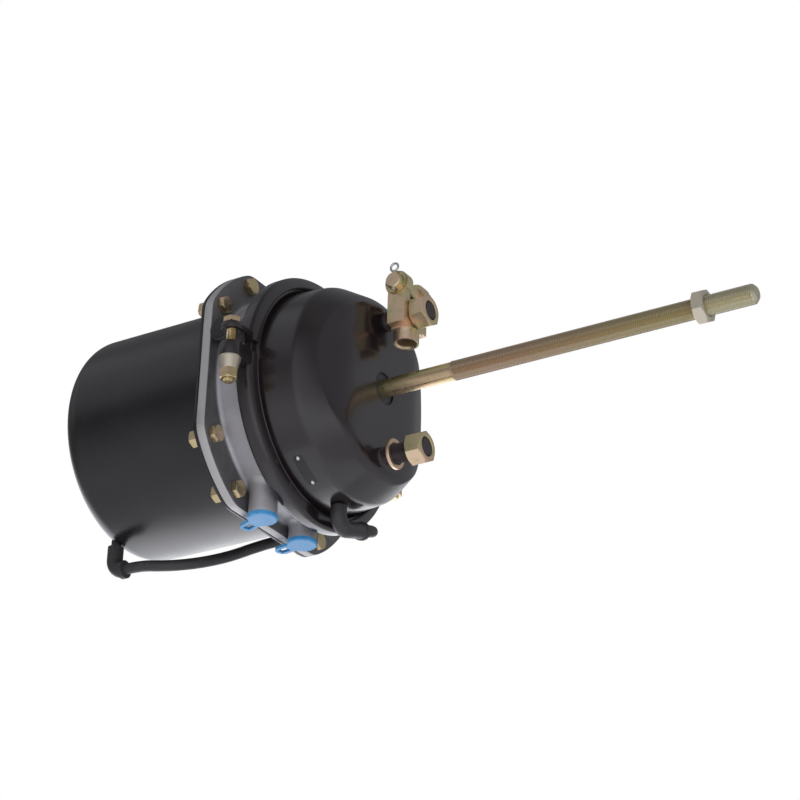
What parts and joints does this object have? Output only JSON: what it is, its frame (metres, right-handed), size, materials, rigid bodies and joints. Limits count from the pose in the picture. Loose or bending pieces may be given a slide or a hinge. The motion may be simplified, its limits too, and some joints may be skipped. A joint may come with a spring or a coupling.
{
  "type": "air brake chamber",
  "caption": "Combined service and spring brake chamber with a threaded push rod, two mounting studs, a clamp ring, two air ports and a rear release bolt.",
  "frame": {"origin": "middle of the flat mounting face, on the push rod's axis", "axes": "+Z along the push rod, the way it pushes; +X the way the air ports look; the studs stand on the X axis"},
  "size_m": [0.2281, 0.2572, 0.576],
  "materials": {
    "black_paint": "gloss black stove enamel",
    "clamp_paint": "gloss black enamel",
    "cast_aluminium": "as-cast and machined, dull grey",
    "zinc_yellow": "yellow passivated zinc",
    "zinc_bright": "bright zinc",
    "rod_steel": "olive-yellow passivated zinc",
    "dark_steel": "black phosphated steel",
    "plain_steel": "turned steel, oiled",
    "spring_steel": "spring steel, dark coated",
    "rubber": "matt black rubber",
    "bush_plastic": "off-white acetal",
    "blue_plastic": "moulded blue polythene",
    "black_plastic": "moulded black plastic"
  },
  "bodies": {
    "chamber": {"service_housing": "black_paint", "spring_cylinder": "black_paint", "clamp_band_upper": "clamp_paint", "clamp_band_lower": "clamp_paint", "clamp_bolts": "zinc_yellow", "clamp_nuts": "zinc_yellow", "clamp_collars": "zinc_bright", "mounting_studs": "dark_steel", "stud_nuts": "zinc_yellow", "stud_washers": "zinc_yellow", "clevis": "zinc_yellow", "service_diaphragm": "rubber", "intermediate_housing": "cast_aluminium", "tube_guide_bush": "bush_plastic", "tube_seal": "rubber", "tube_wiper": "rubber", "housing_o_ring": "rubber", "flange_bolts": "zinc_yellow", "flange_nuts": "zinc_yellow", "release_boss": "plain_steel", "blank_port_cap": "black_plastic", "front_vent_elbow": "rubber", "rear_vent_elbow": "rubber", "vent_hose": "rubber", "rod_seal": "rubber", "return_spring": "spring_steel", "power_spring": "spring_steel"},
    "spring_piston": {"spring_piston": "cast_aluminium", "piston_tube": "plain_steel", "piston_seal": "rubber", "piston_guide_ring": "bush_plastic", "tube_pad": "black_plastic"},
    "push_rod": {"push_rod": "rod_steel", "push_plate": "plain_steel"},
    "lock_nut": {"rod_lock_nut": "zinc_bright"},
    "release_carrier": {"release_thrust_washer": "plain_steel", "release_washer": "zinc_yellow"},
    "release_screw": {"release_bolt": "zinc_yellow", "release_stop_nut": "plain_steel"},
    "clevis_pin": {"clevis_pin": "zinc_yellow", "clevis_pin_washer": "zinc_yellow", "clevis_cotter": "zinc_bright"},
    "service_plug": {"service_port_plug": "blue_plastic"},
    "spring_plug": {"spring_port_plug": "blue_plastic"}
  },
  "joints": [
    {"name": "piston_stroke", "type": "slide", "parent": "chamber", "child": "spring_piston", "axis": [0, 0, 1], "range_m": [-0.057, 0], "stiffness_N_per_m": 5000, "springref_m": 0.03, "deforming": ["power_spring"]},
    {"name": "rod_stroke", "type": "slide", "parent": "chamber", "child": "push_rod", "axis": [0, 0, 1], "range_m": [-0.057, 0], "deforming": ["return_spring", "service_diaphragm"]},
    {"name": "lock_nut_turn", "type": "hinge", "parent": "push_rod", "child": "lock_nut", "pos_m": [0, 0, 0.278], "axis": [0, 0, 1], "continuous": true},
    {"name": "release_travel", "type": "slide", "parent": "chamber", "child": "release_carrier", "axis": [0, 0, 1], "range_m": [-0.057, 0]},
    {"name": "release_turn", "type": "hinge", "parent": "release_carrier", "child": "release_screw", "pos_m": [0, 0, -0.2398], "axis": [0, 0, 1], "continuous": true},
    {"name": "clevis_pin_turn", "type": "hinge", "parent": "chamber", "child": "clevis_pin", "pos_m": [-0.08332, 0, 0.0188], "axis": [0, 1, 0], "continuous": true},
    {"name": "service_plug_pull", "type": "slide", "parent": "chamber", "child": "service_plug", "axis": [1, 0, 0], "range_m": [0, 0.06]},
    {"name": "spring_plug_pull", "type": "slide", "parent": "chamber", "child": "spring_plug", "axis": [1, 0, 0], "range_m": [0, 0.06]}
  ],
  "couplings": [
    {"joint": "rod_stroke", "follows": "piston_stroke", "ratio": 1},
    {"joint": "release_travel", "follows": "piston_stroke", "ratio": 1}
  ]
}
